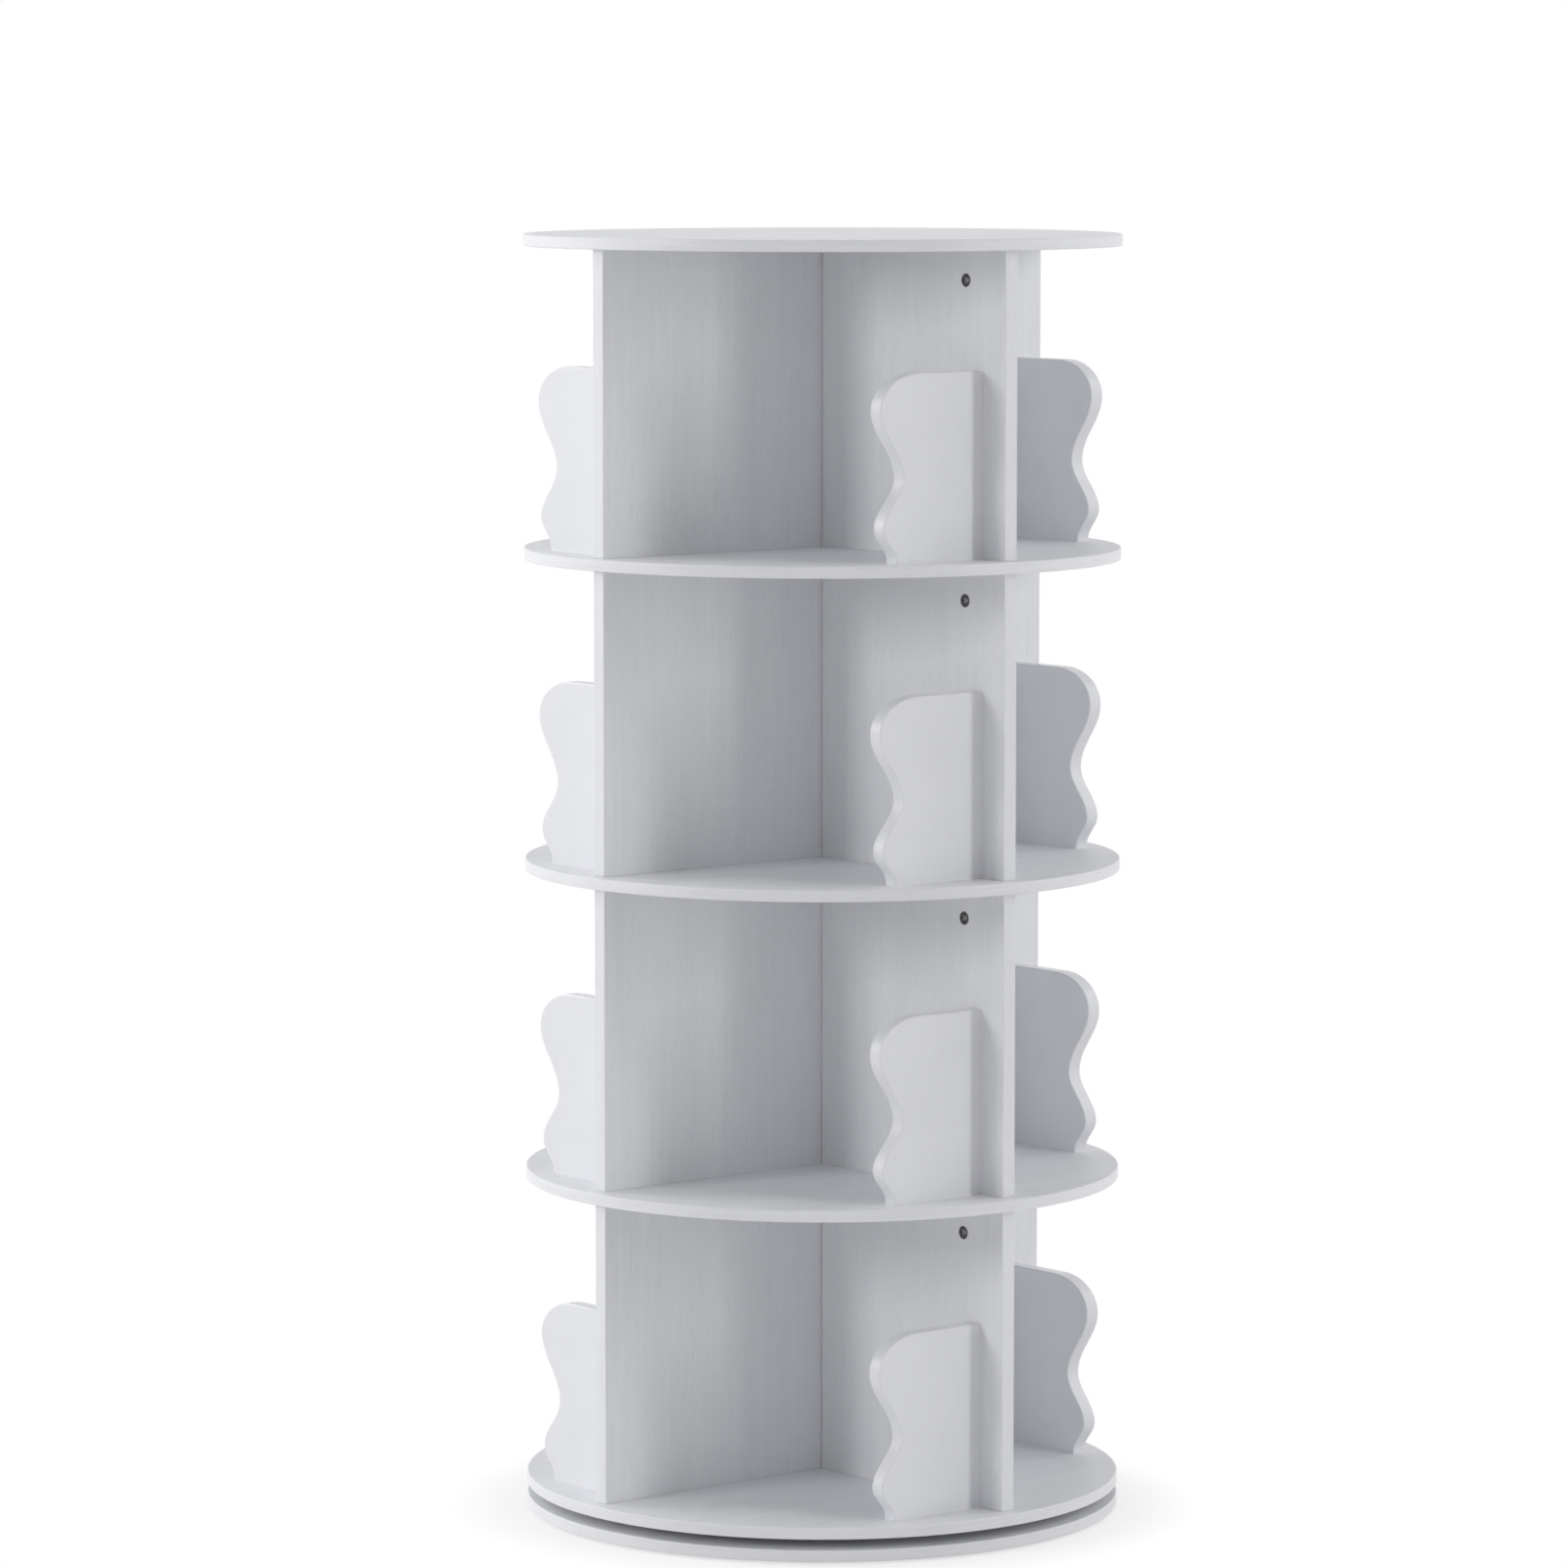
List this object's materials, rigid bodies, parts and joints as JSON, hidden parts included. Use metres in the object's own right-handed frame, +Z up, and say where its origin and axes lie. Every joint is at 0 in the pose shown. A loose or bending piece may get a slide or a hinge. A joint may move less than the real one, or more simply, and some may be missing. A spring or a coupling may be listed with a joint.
{
  "type": "revolving bookcase",
  "caption": "Floor-standing round revolving bookcase: stacked disc shelves with crossed dividers and wavy-edged book fences, turning on a ball-bearing turntable over a fixed base.",
  "frame": {"origin": "centre of the floor face of the foot pads, on the spin axis", "axes": "+Z up along the spin axis, +X along a short divider, +Y along the long dividers"},
  "size_m": [0.4599, 0.46, 0.988],
  "materials": {
    "white_board": "white melamine with an embossed wood grain",
    "white_lacquer": "smooth satin white lacquer on fibreboard",
    "plated_steel": "zinc-plated stamped sheet",
    "zinc_screw": "zinc plated",
    "zinc_cam": "die-cast zinc, dull",
    "ball_steel": "polished steel",
    "cage_plastic": "moulded nylon",
    "beech_dowel": "bare beech",
    "foot_pad": "dense foam pad"
  },
  "bodies": {
    "base": {"base_disc": "white_board", "foot_pads": "foot_pad", "turntable_lower_plate": "plated_steel", "lower_plate_screws": "zinc_screw"},
    "ball_ring": {"ball_cage": "cage_plastic", "bearing_balls": "ball_steel"},
    "carousel": {"turntable_upper_plate": "plated_steel", "upper_plate_screws": "zinc_screw", "shelf_1": "white_board", "shelf_2": "white_board", "shelf_3": "white_board", "shelf_4": "white_board", "top_disc": "white_board", "long_divider_1": "white_board", "long_divider_2": "white_board", "long_divider_3": "white_board", "long_divider_4": "white_board", "short_divider_1_right": "white_board", "short_divider_2_right": "white_board", "short_divider_3_right": "white_board", "short_divider_4_right": "white_board", "short_divider_1_left": "white_board", "short_divider_2_left": "white_board", "short_divider_3_left": "white_board", "short_divider_4_left": "white_board", "fence_1_1": "white_lacquer", "fence_1_2": "white_lacquer", "fence_1_3": "white_lacquer", "fence_1_4": "white_lacquer", "fence_2_1": "white_lacquer", "fence_2_2": "white_lacquer", "fence_2_3": "white_lacquer", "fence_2_4": "white_lacquer", "fence_3_1": "white_lacquer", "fence_3_2": "white_lacquer", "fence_3_3": "white_lacquer", "fence_3_4": "white_lacquer", "fence_4_1": "white_lacquer", "fence_4_2": "white_lacquer", "fence_4_3": "white_lacquer", "fence_4_4": "white_lacquer", "cam_locks_1": "zinc_cam", "cam_locks_2": "zinc_cam", "cam_locks_3": "zinc_cam", "cam_locks_4": "zinc_cam", "cam_bolts_1": "zinc_screw", "cam_bolts_2": "zinc_screw", "cam_bolts_3": "zinc_screw", "cam_bolts_4": "zinc_screw", "shelf_screws_1": "zinc_screw", "shelf_screws_2": "zinc_screw", "shelf_screws_3": "zinc_screw", "shelf_screws_4": "zinc_screw", "dowels_1": "beech_dowel", "dowels_2": "beech_dowel", "dowels_3": "beech_dowel", "dowels_4": "beech_dowel"}
  },
  "joints": [
    {"name": "carousel_spin", "type": "hinge", "parent": "base", "child": "carousel", "pos_m": [0, 0, 0.015], "axis": [0, 0, 1], "continuous": true},
    {"name": "ball_ring_spin", "type": "hinge", "parent": "base", "child": "ball_ring", "pos_m": [0, 0, 0.015], "axis": [0, 0, 1], "continuous": true}
  ],
  "couplings": [
    {"joint": "ball_ring_spin", "follows": "carousel_spin", "ratio": 0.5}
  ]
}
